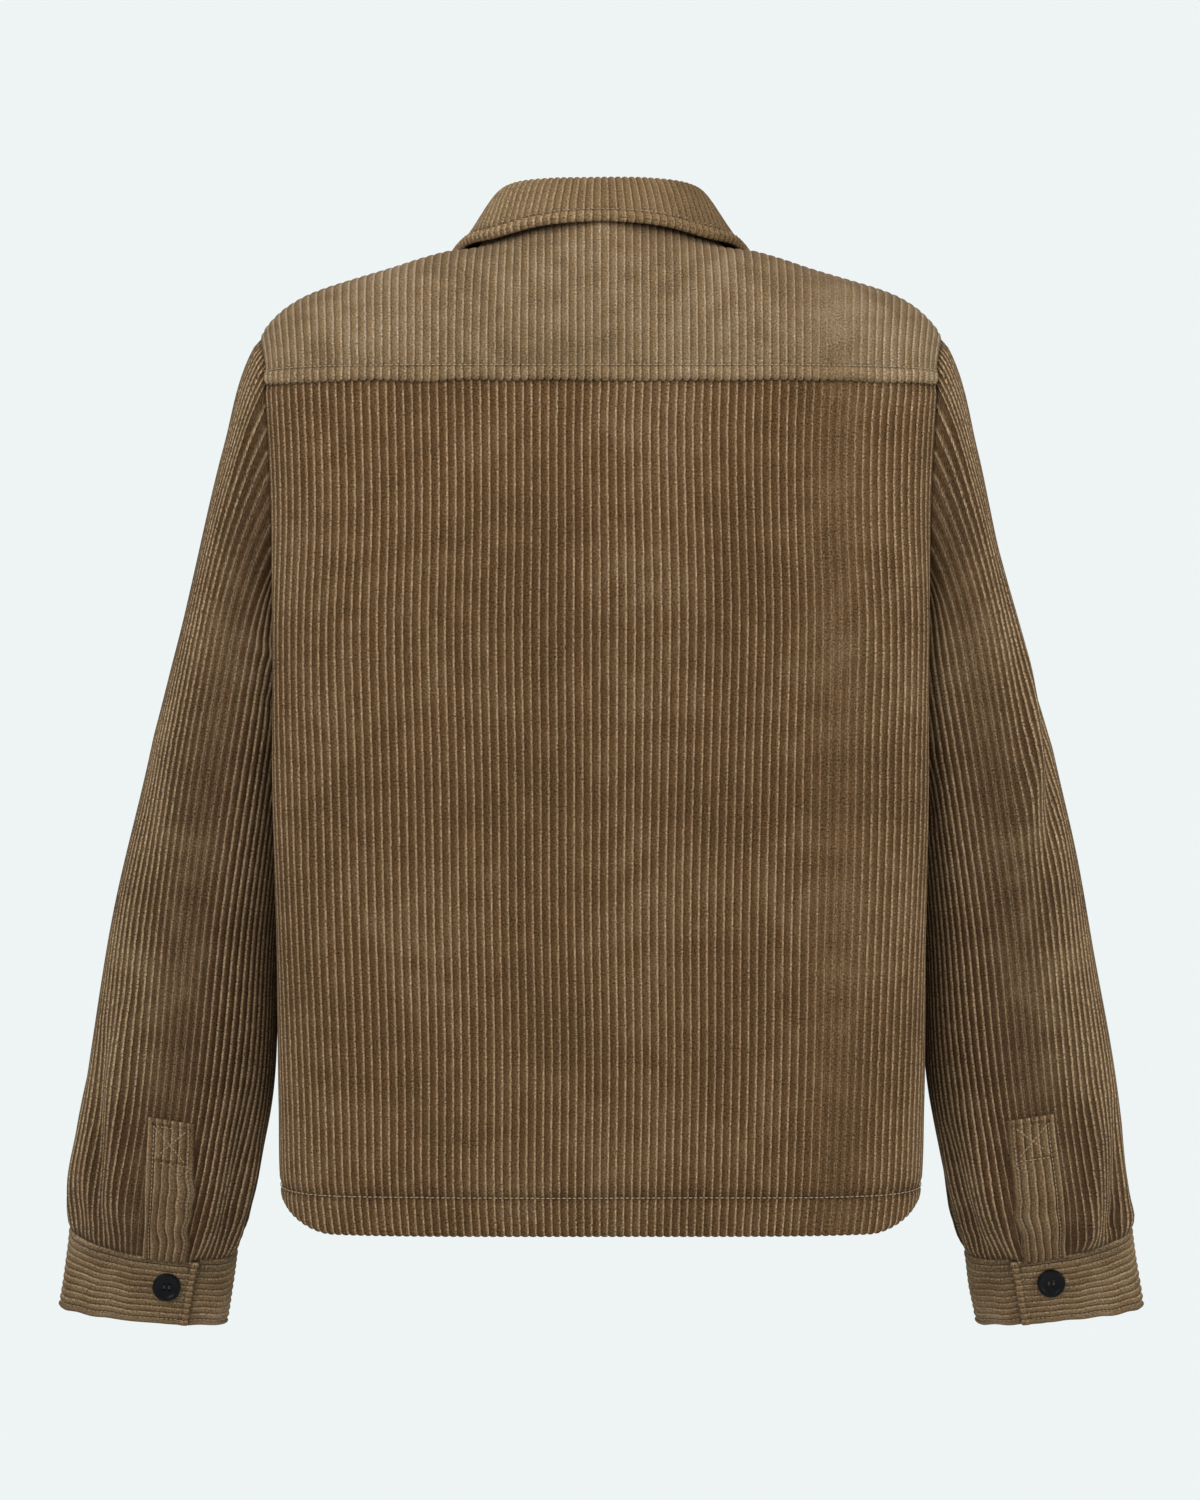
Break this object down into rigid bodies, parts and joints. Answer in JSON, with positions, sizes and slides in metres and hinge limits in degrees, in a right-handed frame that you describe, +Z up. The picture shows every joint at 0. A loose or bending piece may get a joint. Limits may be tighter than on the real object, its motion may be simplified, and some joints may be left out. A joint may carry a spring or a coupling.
{
  "type": "corduroy shacket",
  "caption": "Hip-length overshirt in wide-wale corduroy, filled out and buttoned: open neck, hem and cuffs, pointed collar, back yoke, long sleeves.",
  "frame": {"origin": "between the wearer's shoulders, level with the side of the neck", "axes": "+Z up, -Y towards the buttoned front, +X towards the wearer's left"},
  "size_m": [0.7409, 0.1993, 0.7687],
  "materials": {
    "corduroy": "matt ribbed pile",
    "button": "satin"
  },
  "bodies": {
    "root": {"back": "corduroy", "yoke": "corduroy", "front_left": "corduroy", "front_right": "corduroy", "sleeve_left": "corduroy", "sleeve_right": "corduroy", "placket_left": "corduroy", "placket_right": "corduroy", "cuff_left": "corduroy", "cuff_right": "corduroy", "collar_stand": "corduroy", "collar_fall": "corduroy", "front_button_1": "button", "front_button_2": "button", "front_button_3": "button", "front_button_4": "button", "front_button_5": "button", "front_button_6": "button", "cuff_button_left": "button", "cuff_button_right": "button"}
  },
  "joints": []
}
